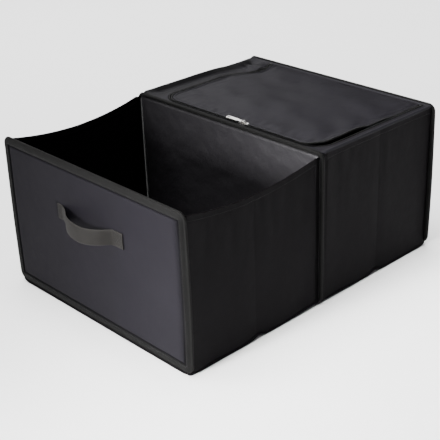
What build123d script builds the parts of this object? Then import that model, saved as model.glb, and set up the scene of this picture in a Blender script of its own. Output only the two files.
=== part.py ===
"""Collapsible two-compartment storage crate, in millimetres.

Three stiff upright panels (front, divider, rear) are joined by soft side walls that
crease in the middle and fold inwards. Each compartment stands on a cloth base with a
two-leaf base board that folds up like a tent. The rear compartment has a cloth top
with a zipped lid, and each end panel carries a webbing handle.

+X points from the divider to the lidded rear compartment, +Y to the left wall and +Z
up. The origin is on the ground, under the middle of the divider.
"""

from build123d import *
import os

# ---- driving dimensions --------------------------------------------------------
panel_width = 450.0        # overall width of the three upright panels
panel_top = 275.0          # height of the panels' top edge
panel_spacing = 292.0      # middle of the divider to the middle of an end panel
panel_corner = 14.0        # corner radius of a panel
board_thick = 3.0          # stiffening board inside each panel
cover_thick = 0.9          # cloth on each face of a board
binding_thick = 7.0        # edge binding, measured through the panel
binding_width = 8.0        # how far the binding reaches in from the edge
binding_skin = 1.2         # binding cloth outside the board's edge

wall_thick = 2.4           # lined cloth of a side wall
wall_inset = 5.0           # panel edge to the wall's outer face
wall_sag = 16.0            # dip of the open compartment's top edge at the crease
open_wall_top = 268.0      # open compartment's wall height at its ends
closed_wall_top = 269.6    # rear compartment's wall height
hem_width = 10.0           # folded hem along a wall's top edge
hem_skin = 0.6             # hem cloth folded over the top, on the inner face

base_cloth_thick = 1.2     # sewn cloth base
base_rim_height = 5.6      # rolled seam around the cloth base
base_rim_width = 4.0
base_board_thick = 3.0
leaf_play = 1.6            # base board edge to a side wall

top_cloth_thick = 1.2      # rear compartment's cloth top
tape_thick = 0.7           # zip tape, sewn under the cloth
lid_right_margin = 17.0    # zip line to the right wall's outer face
lid_left_margin = 48.0     # zip line to the left wall's outer face
lid_front_margin = 7.7     # zip line to the cloth's front edge
lid_corner = 35.0          # radius of the zip line at the front corners
rear_hem = 6.0             # cloth between the rear panel and the lid's hinge

chain_row_width = 2.6      # one row of zip teeth
chain_row_height = 2.2
chain_groove = 1.6         # gap between the rows, where the slider's post runs
stop_length = 4.0          # metal stop at each end of the zip
tape_reach_out = 7.0       # zip line to the outer tape's far edge
tape_reach_in = 12.0       # zip line to the inner tape's far edge

slider_length = 19.0
slider_width = 8.6
slider_plate = 1.2
slider_rest_y = -36.0      # where the slider stands along the front run
pull_length = 40.0
pull_width = 8.5
pull_thick = 1.2
pull_pin_radius = 1.0

handle_length = 166.0      # over both sewn ends
handle_width = 27.0
handle_height = 182.0      # centre of the webbing above the ground
webbing_thick = 1.6
handle_bow = 28.0          # how far the loop stands off the panel
anchor_length = 26.0       # sewn patch at each end
handle_axis_out = 13.5     # swing axis to the panel's outer cover
handle_root_out = 15.5     # how far out the swinging loop starts
handle_root_rise = 13.0    # patch's inner end to the start of the loop
thread_thick = 0.5

# ---- clearances ----------------------------------------------------------------
hinge_gap = 1.0            # wall end to the end panel's binding
stack_gap = 0.8            # between layers of the folded pack
fold_gap = 0.25            # crease axis to the wall's outer face
cut_gap = 0.2              # half the slit between two hinged halves
cloth_gap = 0.4            # between cloth layers that slide on each other
zip_gap = 0.4              # between zip parts that run past each other
stop_gap = 1.5             # from the lid's teeth and tape to the end stops

# ---- derived places, for x measured away from the divider ----------------------
panel_half = binding_thick / 2
core_thick = board_thick + 2 * cover_thick
wall_outer_y = panel_width / 2 - wall_inset
wall_inner_y = wall_outer_y - wall_thick

board_z0 = base_cloth_thick + cloth_gap
board_z1 = board_z0 + base_board_thick
leaf_fold_gap = cut_gap
leaf_x0 = panel_half + stack_gap
leaf_stack = 2 * (base_board_thick + leaf_fold_gap)
wall_x0 = leaf_x0 + leaf_stack + stack_gap
panel_face_x = panel_spacing - panel_half
wall_x1 = panel_face_x - hinge_gap
wall_half = (wall_x1 - wall_x0) / 2
crease_x = wall_x0 + wall_half
leaf_x1 = panel_face_x - 2.2
leaf_half = (leaf_x1 - leaf_x0) / 2
foot_z = base_rim_height + cloth_gap

tape_z0 = closed_wall_top + cloth_gap
cloth_z0 = tape_z0 + tape_thick + 0.1
cloth_z1 = cloth_z0 + top_cloth_thick
top_x0 = panel_half + stack_gap
top_x1 = panel_face_x - stack_gap
top_half = (top_x1 - top_x0) / 2
top_crease_x = top_x0 + top_half
zip_x = top_x0 + lid_front_margin
zip_right_y = -(wall_outer_y - lid_right_margin)
zip_left_y = wall_outer_y - lid_left_margin
lid_hinge_x = top_x1 - rear_hem
row_in = chain_groove / 2
row_out = row_in + chain_row_width
row_z1 = cloth_z0 + chain_row_height
lid_edge = slider_width / 2 + zip_gap
slider_z0 = tape_z0 - zip_gap - slider_plate
slider_z1 = row_z1 + zip_gap + slider_plate
top_crease_z = (tape_z0 + slider_z0 - zip_gap) / 2
pull_axis_z = slider_z1 + 0.6 + pull_pin_radius
panel_out_x = panel_spacing + core_thick / 2

os.makedirs("parts", exist_ok=True)


def save(shape, name):
    """Writes one node's STEP file."""
    export_step(Compound(children=list(shape.solids())), f"parts/{name}.step")


def block(x0, x1, y0, y1, z0, z1):
    """An upright box between two corners, in any order."""
    size = abs(x1 - x0), abs(y1 - y0), abs(z1 - z0)
    return Pos((x0 + x1) / 2, (y0 + y1) / 2, (z0 + z1) / 2) * Box(*size)


def upright_slab(x0, x1, foot, inset):
    """A rounded upright slab, with its outline inset from the panel's."""
    width = panel_width - 2 * inset
    height = panel_top - foot - 2 * inset
    radius = max(panel_corner - inset, 1.0)
    plane = Plane.YZ.offset(min(x0, x1))
    outline = plane * Pos(0, (panel_top + foot) / 2) * RectangleRounded(width, height, radius)
    return extrude(outline, abs(x1 - x0))


# ---- upright panels ------------------------------------------------------------
def panel_parts(x_mid, foot):
    """Board, the covers on its -X and +X faces, and the binding around its edge."""
    half_board, half_core = board_thick / 2, core_thick / 2
    board = upright_slab(x_mid - half_board, x_mid + half_board, foot, binding_skin)
    low = upright_slab(x_mid - half_core, x_mid - half_board, foot, binding_skin)
    high = upright_slab(x_mid + half_board, x_mid + half_core, foot, binding_skin)
    ring = upright_slab(x_mid - panel_half, x_mid + panel_half, foot, 0)
    ring -= upright_slab(x_mid - panel_half - 1, x_mid + panel_half + 1, foot, binding_width)
    ring -= upright_slab(x_mid - half_core, x_mid + half_core, foot, binding_skin)
    return board, low, high, ring


# ---- side walls ----------------------------------------------------------------
def top_edge_height(x, is_open):
    """Height of a wall's top edge: a circular sag when the compartment is open."""
    if not is_open:
        return closed_wall_top
    reach = wall_half
    radius = (reach**2 + wall_sag**2) / (2 * wall_sag)
    return open_wall_top - wall_sag + radius - (radius**2 - (x - crease_x) ** 2) ** 0.5


def wall_band(side, x0, x1, y0, y1, is_open, below, above):
    """A wall-shaped solid: its top follows the top edge raised by above, and its foot is
    below under that edge, or at the wall's foot when below is None."""
    def at(x, shift):
        return (side * x, y0, top_edge_height(x, is_open) + shift)

    mid = (x0 + x1) / 2
    if is_open:
        upper = ThreePointArc(at(x0, above), at(mid, above), at(x1, above))
    else:
        upper = Line(at(x0, above), at(x1, above))
    if below is None:
        low0, low1 = (side * x0, y0, foot_z), (side * x1, y0, foot_z)
        lower = Line(low0, low1)
    elif is_open:
        low0, low1 = at(x0, -below), at(x1, -below)
        lower = ThreePointArc(low0, at(mid, -below), low1)
    else:
        low0, low1 = at(x0, -below), at(x1, -below)
        lower = Line(low0, low1)
    loop = Wire([upper, Line(at(x1, above), low1), lower, Line(low0, at(x0, above))])
    return extrude(Face(loop), y1 - y0, dir=(0, 1, 0))


def wall_and_hem(side, left, is_outer, is_open):
    """One half of a side wall, and the hem folded over its top edge."""
    x0 = crease_x + cut_gap if is_outer else wall_x0
    x1 = wall_x1 if is_outer else crease_x - cut_gap
    y0, y1 = sorted((left * wall_inner_y, left * wall_outer_y))
    wall = wall_band(side, x0, x1, y0, y1, is_open, None, 0)
    # the hem stays off the outer face, which folds flat against the wall's other half
    inside = left * (wall_inner_y - hem_skin)
    low, high = sorted((inside, left * wall_outer_y))
    over = hem_skin if is_open else 0
    hem = wall_band(side, x0, x1, low, high, is_open, hem_width, over)
    return wall, hem - wall


def side_seams():
    """Seam strips that sew the four side walls to the divider."""
    strips = []
    for side, top in ((-1, open_wall_top), (1, closed_wall_top)):
        near, far = side * (panel_half + 0.2), side * (wall_x0 - cut_gap)
        for left in (-1, 1):
            strips.append(block(near, far, left * wall_inner_y, left * wall_outer_y, foot_z, top))
    return Compound(children=strips)


# ---- base ----------------------------------------------------------------------
def base_cloth(side):
    """Cloth floor of a compartment, with a rolled seam around its three outer edges."""
    x_in, x_out = side * (panel_half + 0.3), side * (panel_spacing + panel_half)
    half = wall_outer_y + 1.6
    sheet = block(x_in, x_out, -half, half, 0, base_rim_height)
    well_out = side * (panel_spacing + panel_half - base_rim_width)
    well_half = half - base_rim_width
    return sheet - block(x_in - side, well_out, -well_half, well_half, base_cloth_thick, 10)


def base_leaf(side, is_outer):
    """One leaf of the two-leaf base board."""
    x0 = leaf_x0 + leaf_half + cut_gap if is_outer else leaf_x0
    x1 = leaf_x1 if is_outer else leaf_x0 + leaf_half - cut_gap
    half = wall_inner_y - leaf_play
    leaf = block(side * x0, side * x1, -half, half, board_z0, board_z1)
    ends = leaf.edges().filter_by(Axis.Z)
    free = ends.sort_by(Axis.X)[-2:] if (side > 0) == is_outer else ends.sort_by(Axis.X)[:2]
    return fillet(free, 8.0)


# ---- cloth top, zip and lid ----------------------------------------------------
def zip_area(offset, rear_x, z0, z1):
    """The area inside the zip line grown by offset, from the front to rear_x."""
    x0 = zip_x - offset
    y0, y1 = zip_right_y - offset, zip_left_y + offset
    face = Plane.XY.offset(z0) * Pos((x0 + rear_x) / 2, (y0 + y1) / 2) * Rectangle(rear_x - x0, y1 - y0)
    corners = face.vertices().sort_by(Axis.X)[:2]
    return extrude(fillet(corners, lid_corner + offset), z1 - z0)


def zip_band(inner, outer, rear_x, z0, z1):
    """A band that follows the zip line, between two offsets from it."""
    return zip_area(outer, rear_x, z0, z1) - zip_area(inner, rear_x + 1, z0, z1)


def front_and_rear(shape):
    """A top piece cut at the crease into its front and rear halves."""
    low, high = tape_z0 - 20, cloth_z1 + 20
    front = shape & block(0, top_crease_x - cut_gap, -panel_width, panel_width, low, high)
    rear = shape & block(top_crease_x + cut_gap, panel_spacing, -panel_width, panel_width, low, high)
    return front, rear


def top_pieces():
    """Every cloth, tape and chain piece of the top, as {name: shape}."""
    hem_x = lid_hinge_x + cut_gap
    lid_x = lid_hinge_x - cut_gap
    sheet = block(top_x0, top_x1, -wall_outer_y, wall_outer_y, cloth_z0, cloth_z1)
    surround = sheet - zip_area(lid_edge, hem_x, cloth_z0 - 1, cloth_z1 + 1)
    lid = zip_area(-lid_edge, lid_x, cloth_z0, cloth_z1)
    outer_tape = zip_band(row_in, tape_reach_out, lid_x, tape_z0, tape_z0 + tape_thick)
    inner_end_x = lid_x - stop_length - stop_gap
    inner_tape = zip_band(-tape_reach_in, -row_in, inner_end_x, tape_z0, tape_z0 + tape_thick)
    stops = zip_stops()
    outer_row = zip_band(row_in, row_out, lid_x, tape_z0 + tape_thick, row_z1) - stops
    inner_row = zip_band(-row_out, -row_in, inner_end_x, tape_z0 + tape_thick, row_z1)
    whole = {"top_surround": surround, "lid": lid, "zip_tape_outer": outer_tape,
             "zip_tape_inner": inner_tape, "zip_chain_outer": outer_row, "zip_chain_inner": inner_row}
    pieces = {"zip_end_stops": stops}
    for name, shape in whole.items():
        pieces[name + "_front"], pieces[name + "_rear"] = front_and_rear(shape)
    return pieces


def zip_stops():
    """The two metal stops at the rear ends of the zip."""
    x1 = lid_hinge_x - cut_gap
    x0 = x1 - stop_length
    stops = [block(x0, x1, y - row_out, y + row_out, cloth_z0 + 0.4, row_z1 + 0.4)
             for y in (zip_left_y, zip_right_y)]
    return Compound(children=stops)


def slider_body():
    """Upper and lower plates of the slider, joined by a post between the tooth rows."""
    y = slider_rest_y
    plates = []
    for z0 in (slider_z0, slider_z1 - slider_plate):
        face = Plane.XY.offset(z0) * Pos(zip_x, y) * RectangleRounded(slider_width, slider_length, 3.2)
        plates.append(extrude(face, slider_plate))
    post_half = (chain_groove - 2 * 0.3) / 2
    post_y = y - slider_length / 2 + 4.5
    post = block(zip_x - post_half, zip_x + post_half, post_y - 2.5, post_y + 2.5,
                 slider_z0 + slider_plate / 2, slider_z1 - slider_plate / 2)
    lips = [block(zip_x + s * (slider_width / 2 - 0.7), zip_x + s * slider_width / 2, y - 5.5, y + 5.5,
                  cloth_z1 + 0.3, slider_z1 - slider_plate / 2) for s in (-1, 1)]
    return plates[0] + post + plates[1] + lips[0] + lips[1]


def slider_bridge():
    """The arched bridge on the slider's back that the pull tab's loop hangs on."""
    arch_out, arch_in, width = 5.6, 4.0, 3.0
    y = slider_rest_y
    plane = Plane.YZ.offset(zip_x - width / 2)
    base = plane * Pos(y, slider_z1) * Rectangle(2 * arch_out, 2 * arch_out)
    arch = plane * Pos(y, slider_z1) * Ellipse(arch_out, 4.4)
    hollow = plane * Pos(y, slider_z1) * Ellipse(arch_in, 2.9)
    upper = extrude(arch & base, width) - extrude(hollow, width)
    return upper & block(0, 50, y - 20, y + 20, slider_z1, slider_z1 + 20)


def pull_tab():
    """The pull tab, with an eye around the bridge and a slot at its free end."""
    y0 = slider_rest_y
    z0 = pull_axis_z - pull_thick / 2
    plane = Plane.XY.offset(z0)
    neck_start, neck_end = 7.5, 12.0
    blade = plane * Pos(zip_x, y0 + (neck_end + pull_length) / 2) * RectangleRounded(
        pull_width, pull_length - neck_end, 3.0)
    neck_y = y0 + (neck_start + neck_end) / 2 + 1
    neck = plane * Pos(zip_x, neck_y) * Rectangle(4.6, neck_end - neck_start + 4)
    slot = plane * Pos(zip_x, y0 + pull_length - 5.0) * RectangleRounded(3.6, 5.2, 1.7)
    flat = extrude(blade + neck - slot, pull_thick)
    arms = [block(zip_x + s * 2.0, zip_x + s * 3.4, y0 - pull_pin_radius, y0 + neck_start + 2,
                  z0, z0 + pull_thick) for s in (-1, 1)]
    pin = Pos(zip_x, y0, pull_axis_z) * Rot(0, 90, 0) * Cylinder(pull_pin_radius, 6.8)
    collar_y = y0 + neck_start - 0.5, y0 + neck_start + 1.5
    collar = block(zip_x - 3.4, zip_x + 3.4, *collar_y, z0, z0 + pull_thick)
    return flat + arms[0] + arms[1] + pin + collar


# ---- handles -------------------------------------------------------------------
def webbing_path(side):
    """The webbing's middle line seen from above: (x, y) from one patch to the other."""
    face_x = side * (panel_out_x + webbing_thick / 2)
    half = handle_length / 2
    inner = half - anchor_length
    root = side * (panel_out_x + handle_root_out), inner - handle_root_rise
    out_x = side * (panel_out_x + handle_bow - webbing_thick / 2)
    start = Line((face_x, half), (face_x, inner))
    rise = Spline((face_x, inner), root, (out_x, 0), (root[0], -root[1]), (face_x, -inner),
                  tangents=[(side * 0.9, -0.62), (-side * 0.9, -0.62)])
    end = Line((face_x, -inner), (face_x, -half))
    return Curve() + [start, rise, end]


def handle_parts(side):
    """Fixed anchors with their roots, the swinging loop, and the box-and-cross stitching."""
    z0 = handle_height - handle_width / 2
    path = webbing_path(side)
    strip = Pos(0, 0, z0) * extrude(trace(path, webbing_thick), handle_width)
    split_y = handle_length / 2 - anchor_length - handle_root_rise
    near, far = side * panel_out_x, side * (panel_out_x + handle_bow + 20)
    low, high = z0 - 5, z0 + handle_width + 5
    loop = strip & block(near, far, cut_gap - split_y, split_y - cut_gap, low, high)
    fixed = strip - block(near, far, -split_y, split_y, low, high)
    fixed -= block(near, near - side * 5, -panel_width, panel_width, low, high)
    threads = []
    for end in (-1, 1):
        middle = end * (handle_length - anchor_length) / 2
        threads.append(box_stitch(side, middle))
    return fixed, loop, Compound(children=threads)


def box_stitch(side, y):
    """Thread of one sewn patch: a square with a diagonal cross."""
    inset = 3.5
    half_y, half_z = anchor_length / 2 - inset, handle_width / 2 - inset
    x = side * (panel_out_x + webbing_thick)
    plane = Plane.YZ.offset(min(x, x + side * thread_thick))
    centre = Pos(y, handle_height)
    frame = Rectangle(2 * half_y + 0.8, 2 * half_z + 0.8) - Rectangle(2 * half_y - 0.8, 2 * half_z - 0.8)
    angle = Vector(half_y, half_z).get_angle(Vector(1, 0))
    length = 2 * (half_y**2 + half_z**2) ** 0.5
    cross = Rot(0, 0, angle) * Rectangle(length, 0.8) + Rot(0, 0, -angle) * Rectangle(length, 0.8)
    return extrude(plane * centre * (frame + cross), thread_thick)


# ---- the crate -----------------------------------------------------------------
def hinge_axes():
    """A point on each hinge's axis on the rear compartment's left side, as {name: point}.
    The right side and the front compartment are its mirror images."""
    handle_axis_x = panel_out_x + handle_axis_out
    return {
        "fold": (wall_x0, wall_inner_y, 0),
        "wall crease": (crease_x, wall_outer_y + fold_gap, 0),
        "panel corner": (wall_x1, wall_inner_y, 0),
        "base flip": (leaf_x0, 0, board_z1),
        "base crease": (leaf_x0 + leaf_half, 0, board_z0 - leaf_fold_gap),
        "handle swing": (handle_axis_x, 0, handle_height),
        "top fold": (top_x1, 0, cloth_z1),
        "top crease and lid crease": (top_crease_x, 0, top_crease_z),
        "lid open": (lid_hinge_x, 0, cloth_z1),
        "pull tab flip": (zip_x, slider_rest_y, pull_axis_z),
    }


def main():
    """Builds every node, writes parts/NODE.step and prints the hinge axes."""
    nodes = {}
    board, low, high, ring = panel_parts(0, 0)
    nodes["divider_board"], nodes["divider_binding"] = board, ring
    nodes["divider_front_cover"], nodes["divider_rear_cover"] = low, high
    nodes["divider_side_seams"] = side_seams()
    for end, side in (("front", -1), ("rear", 1)):
        board, low, high, ring = panel_parts(side * panel_spacing, foot_z)
        outside, inside = (low, high) if side < 0 else (high, low)
        nodes[f"{end}_panel_board"], nodes[f"{end}_panel_binding"] = board, ring
        nodes[f"{end}_panel_cover"], nodes[f"{end}_panel_lining"] = outside, inside
        nodes[f"{end}_base_cloth"] = base_cloth(side)
        for half in ("inner", "outer"):
            nodes[f"{end}_base_board_{half}"] = base_leaf(side, half == "outer")
            for hand, left in (("left", 1), ("right", -1)):
                wall, hem = wall_and_hem(side, left, half == "outer", side < 0)
                nodes[f"{end}_{hand}_wall_{half}"] = wall
                nodes[f"{end}_{hand}_hem_{half}"] = hem
        anchors, loop, threads = handle_parts(side)
        nodes[f"{end}_handle_anchors"] = anchors
        nodes[f"{end}_handle_strap"] = loop
        nodes[f"{end}_handle_stitching"] = threads
    nodes.update(top_pieces())
    nodes["zip_slider_body"] = slider_body()
    nodes["zip_slider_bridge"] = slider_bridge()
    nodes["zip_pull_tab"] = pull_tab()
    for name, shape in nodes.items():
        save(shape, name)
    for name, point in hinge_axes().items():
        print(name, point)


if __name__ == "__main__":
    main()
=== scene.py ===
"""The looks of the collapsible storage crate, in metres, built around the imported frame.

Cloth pieces are closed thin meshes laid out on grids, with their seams, hems, creases
and wrinkles in the geometry. x is measured away from the divider and multiplied by
side, which is -1 for the open front compartment and 1 for the lidded rear one.
"""

import math

import bmesh
import bpy
import numpy as np
from mathutils import Matrix, Vector, geometry, noise


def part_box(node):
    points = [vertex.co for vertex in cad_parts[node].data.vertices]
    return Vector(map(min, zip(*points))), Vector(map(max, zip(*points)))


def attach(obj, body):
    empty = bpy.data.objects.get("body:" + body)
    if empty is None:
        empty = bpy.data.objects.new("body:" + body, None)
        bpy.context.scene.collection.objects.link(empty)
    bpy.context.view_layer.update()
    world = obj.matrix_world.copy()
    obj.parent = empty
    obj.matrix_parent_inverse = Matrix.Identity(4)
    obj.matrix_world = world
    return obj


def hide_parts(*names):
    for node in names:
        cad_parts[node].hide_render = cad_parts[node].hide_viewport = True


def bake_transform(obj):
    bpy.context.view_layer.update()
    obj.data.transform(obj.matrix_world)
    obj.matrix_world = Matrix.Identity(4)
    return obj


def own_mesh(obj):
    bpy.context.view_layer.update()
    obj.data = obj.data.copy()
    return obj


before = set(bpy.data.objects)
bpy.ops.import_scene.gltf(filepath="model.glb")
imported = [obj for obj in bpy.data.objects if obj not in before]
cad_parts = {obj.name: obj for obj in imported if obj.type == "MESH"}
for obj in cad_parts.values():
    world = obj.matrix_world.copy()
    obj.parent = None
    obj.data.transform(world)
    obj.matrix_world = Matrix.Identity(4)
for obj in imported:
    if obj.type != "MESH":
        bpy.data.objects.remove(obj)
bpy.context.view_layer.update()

MM = 0.001

# ---- sizes read from the frame --------------------------------------------------
panel_lo, panel_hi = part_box("rear_panel_binding")
half_width, top_z = panel_hi.y, panel_hi.z
panel_mid, panel_half = (panel_lo.x + panel_hi.x) / 2, (panel_hi.x - panel_lo.x) / 2
core_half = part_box("rear_panel_cover")[1].x - panel_mid
board_half = (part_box("rear_panel_board")[1].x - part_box("rear_panel_board")[0].x) / 2
wall_x0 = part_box("rear_left_wall_inner")[0].x
wall_x1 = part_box("rear_left_wall_outer")[1].x
crease_x = (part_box("rear_left_wall_inner")[1].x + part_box("rear_left_wall_outer")[0].x) / 2
wall_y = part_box("rear_left_wall_inner")[1].y
closed_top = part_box("rear_left_wall_inner")[1].z
open_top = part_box("front_left_wall_inner")[1].z
cad_hem = 10 * MM
sag = open_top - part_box("front_left_hem_inner")[0].z - cad_hem
leaf_lo, leaf_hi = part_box("rear_base_board_inner")
leaf_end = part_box("rear_base_board_outer")[1].x
cloth_lo, cloth_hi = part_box("top_surround_rear")
top_x0, top_x1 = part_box("top_surround_front")[0].x, cloth_hi.x
top_crease = (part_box("top_surround_front")[1].x + cloth_lo.x) / 2
tape_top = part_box("zip_tape_outer_rear")[1].z
row_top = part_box("zip_chain_outer_rear")[1].z
slider_lo, slider_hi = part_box("zip_slider_body")
zip_x = (slider_lo.x + slider_hi.x) / 2
slider_y = (slider_lo.y + slider_hi.y) / 2
stops_lo, stops_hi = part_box("zip_end_stops")
row_reach = zip_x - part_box("zip_chain_outer_front")[0].x
zip_right = stops_lo.y + row_reach
zip_left = stops_hi.y - row_reach
lid_lo, lid_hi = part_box("lid_front")[0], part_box("lid_rear")[1]
lid_edge = lid_lo.x - zip_x
anchor_lo, anchor_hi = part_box("rear_handle_anchors")
strap_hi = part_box("rear_handle_strap")[1]
handle_z = (anchor_lo.z + anchor_hi.z) / 2
webbing_half = (anchor_hi.z - anchor_lo.z) / 2
panel_out_x = anchor_lo.x

# ---- sizes of the sewn detail ----------------------------------------------------
FOOT = 5.2 * MM             # lowest edge of the walls and end panels, on the base's rolled seam
DIVIDER_FOOT = 1.3 * MM
CORNER = 14 * MM            # radius of the panels' corners
SEAM_IN = 15.0 * MM         # seam groove round the board, in from the panel's edge
DIVIDER_SEAM_IN = 8 * MM
PANEL_SWAY = 2.2 * MM       # how far the end panels' side edges bow out
WALL_THICK = 1.2 * MM
HEM = 11 * MM
FLOOR_CORNER = 4 * MM
FLOOR_ROLL = 2.6 * MM       # radius of the rolled seam round the floor
ZIP_CORNER = 35 * MM        # radius of the zip line's corners
TOOTH_PITCH = 2.0 * MM
TAPE_RISE = 0.4 * MM        # most that the outer tape follows the surround's rises
TOP_THICK = 1.15 * MM
LID_THICK = 1.1 * MM
STITCH = 3.6 * MM
THREAD = 0.26 * MM          # radius of the sewing thread
WEBBING_THICK = 0.8 * MM    # half the webbing's thickness
WAVE = 0.3142               # a wave texture's scale times the pitch of its bands


def smooth(a, b, x):
    """0 before a, 1 after b, and a smooth step between them."""
    t = np.clip((x - a) / (b - a), 0, 1)
    return t * t * (3 - 2 * t)


def bump(x, middle, width):
    """A smooth hump of height 1 at middle."""
    return np.exp(-((x - middle) / width) ** 2)


def soft_noise(a, b, scale, seed):
    """Smooth noise from about -1 to 1 over two arrays, with features about scale wide."""
    a, b = np.broadcast_arrays(a, b)
    values = [noise.noise(Vector((x / scale, y / scale, seed * 7.31)))
              for x, y in zip(a.ravel(), b.ravel())]
    return np.array(values).reshape(a.shape)


def rolled(share):
    """How far a rolled edge lies back from its face: 1 at its rim, and 0 from share 1 on."""
    inwards = np.clip(share, 0, 1)
    return 1 - np.sqrt(np.clip(1 - (1 - inwards) ** 2, 0, 1))


def rounding(a, b):
    """How far a square corner's point moves along a, to lie on a round corner."""
    return a * np.sqrt(1 - b * b / 2) - a


def grid(a, b):
    """Two positions at each point of a grid, from the positions along its sides."""
    return np.meshgrid(a, b, indexing="ij")


def place_at(*parts):
    """One array of points from an array or a number for each coordinate."""
    return np.stack(np.broadcast_arrays(*parts), axis=-1)


def lengths_along(line):
    """The length along a line of points, up to each of them."""
    return np.concatenate([[0], np.cumsum(np.linalg.norm(np.diff(line, axis=0), axis=1))])


def stations(a, b, coarse, fine, places, reach):
    """Positions from a to b: fine apart within reach of each place, coarse elsewhere."""
    out = [a]
    while out[-1] < b:
        near = min(abs(out[-1] - p) for p in places)
        out.append(out[-1] + fine + (coarse - fine) * smooth(reach, 3 * reach, near))
    out = np.array(out)
    return a + (out - a) * (b - a) / (out[-1] - a)


# ---- meshes ----------------------------------------------------------------------
def stand(name, data):
    """A new object in the scene."""
    piece = bpy.data.objects.new(name, data)
    bpy.context.collection.objects.link(piece)
    return piece


def grid_faces(nu, nv, wrap_u=False, wrap_v=False, start=0):
    """Quads over a grid of nu by nv vertices that are numbered from start."""
    faces = []
    for i in range(nu if wrap_u else nu - 1):
        for j in range(nv if wrap_v else nv - 1):
            k, m = (i + 1) % nu, (j + 1) % nv
            quad = i * nv + j, k * nv + j, k * nv + m, i * nv + m
            faces.append(tuple(start + corner for corner in quad))
    return faces


class Cloth:
    """Collects parts of one mesh: points, faces, UVs in metres and a tone per point, painted shade where
    negative and lighter where positive (partly wear, partly painted highlight).
    """

    def __init__(self):
        self.points, self.faces, self.uvs, self.tones = [], [], [], []

    def add(self, points, faces, uvs, tones=None):
        start = len(self.points)
        self.points += [tuple(p) for p in np.asarray(points).reshape(-1, 3)]
        self.uvs += [tuple(p) for p in np.asarray(uvs).reshape(-1, 2)]
        count = len(self.points) - start
        self.tones += list(np.zeros(count) if tones is None else np.asarray(tones).ravel())
        self.faces += [tuple(start + k for k in f) for f in faces]

    def sheet(self, front, back, uv, tone=None, wrap=False):
        """A closed thin layer between two grids of points, with rounded rims."""
        nu, nv = front.shape[:2]
        tone = np.zeros((nu, nv)) if tone is None else tone
        if wrap:
            rims = [[(i, 0) for i in range(nu)], [(i, nv - 1) for i in range(nu)]]
        else:
            near, far = [(i, 0) for i in range(nu)], [(i, nv - 1) for i in range(nu - 2, -1, -1)]
            rims = [near + [(nu - 1, j) for j in range(1, nv)] + far + [(0, j) for j in range(nv - 2, 0, -1)]]
        points = [front.reshape(-1, 3), back.reshape(-1, 3)]
        faces = grid_faces(nu, nv, wrap)
        faces += [tuple(nu * nv + k for k in f[::-1]) for f in grid_faces(nu, nv, wrap)]
        uvs, tones, start = [uv.reshape(-1, 2)] * 2, [tone.ravel()] * 2, 2 * nu * nv
        for rim in rims:
            i, j = np.array(rim).T
            ni = i if wrap else np.clip(i, 1, nu - 2)
            nj = np.clip(j, 1, nv - 2)
            middle = (front[i, j] + back[i, j]) / 2
            out = middle - (front[ni, nj] + back[ni, nj]) / 2
            out /= np.maximum(np.linalg.norm(out, axis=1), 1e-9)[:, None]
            thick = np.linalg.norm(front[i, j] - back[i, j], axis=1)[:, None]
            points.append(middle + out * thick * 0.42)
            uvs.append(uv[i, j])
            tones.append(tone[i, j])
            n = len(rim)
            for k in range(n):
                m = (k + 1) % n
                a, b = i[k] * nv + j[k], i[m] * nv + j[m]
                faces.append((a, b, start + m, start + k))
                faces.append((start + k, start + m, nu * nv + b, nu * nv + a))
            start += n
        self.add(np.concatenate(points), faces, np.concatenate(uvs), np.concatenate(tones))

    def tube(self, rings, closed, tone=None):
        """A tube through rings of points, closed on itself or capped at its ends."""
        n, k = rings.shape[:2]
        middle = rings.mean(axis=1)
        along = lengths_along(middle)
        around = np.linalg.norm(np.diff(rings[0], axis=0, append=rings[0][:1]), axis=1)
        around = np.concatenate([[0], np.cumsum(around)[:-1]])
        uv = place_at(*grid(along, around))
        faces = grid_faces(n, k, closed, True)
        if not closed:
            faces += [tuple(range(k))[::-1], tuple((n - 1) * k + j for j in range(k))]
        self.add(rings, faces, uv, tone)

    def pill(self, a, b, side, up, sides=6):
        """A small rounded bar from a to b, such as a stitch or a zip tooth."""
        a, b, side, up = (np.asarray(v, float) for v in (a, b, side, up))
        rings = []
        for share, size in ((0, 0.35), (0.12, 0.85), (0.3, 1), (0.7, 1), (0.88, 0.85), (1, 0.35)):
            centre = a + (b - a) * share
            turn = np.arange(sides) * 2 * math.pi / sides
            rings.append([centre + size * (math.cos(t) * side + math.sin(t) * up) for t in turn])
        self.tube(np.array(rings), False)

    def stitches(self, line, out, pitch, radius):
        """Stitches of thread along a line of points that lies on cloth facing out."""
        line, out = np.asarray(line, float), np.broadcast_to(np.asarray(out, float), np.shape(line))
        along = lengths_along(line)
        for start in np.arange(pitch * 0.3, along[-1] - pitch * 0.8, pitch):
            ends = [np.array([np.interp(s, along, line[:, c]) for c in range(3)])
                    for s in (start, start + pitch * 0.72)]
            up = np.array([np.interp(start, along, out[:, c]) for c in range(3)])
            across = np.cross(ends[1] - ends[0], up)
            across *= radius / max(np.linalg.norm(across), 1e-9)
            self.pill(ends[0], ends[1], across, up * radius / np.linalg.norm(up))

    def make(self, name, material, sharp=False):
        """The finished object, with smooth shading and outward faces. With sharp, its
        cut ends keep their corners."""
        mesh = bpy.data.meshes.new(name)
        mesh.from_pydata(self.points, [], self.faces)
        layer = mesh.uv_layers.new(name="cloth")
        corners = np.zeros(len(mesh.loops), int)
        mesh.loops.foreach_get("vertex_index", corners)
        layer.data.foreach_set("uv", np.array(self.uvs)[corners].ravel())
        tones = mesh.attributes.new("tone", "FLOAT", "POINT")
        tones.data.foreach_set("value", np.array(self.tones, float))
        work = bmesh.new()
        work.from_mesh(mesh)
        bmesh.ops.recalc_face_normals(work, faces=work.faces)
        work.to_mesh(mesh)
        work.free()
        mesh.shade_smooth()
        if sharp:
            mesh.set_sharp_from_angle(angle=math.radians(55))
        mesh.materials.append(material)
        piece = stand(name, mesh)
        return piece


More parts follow.
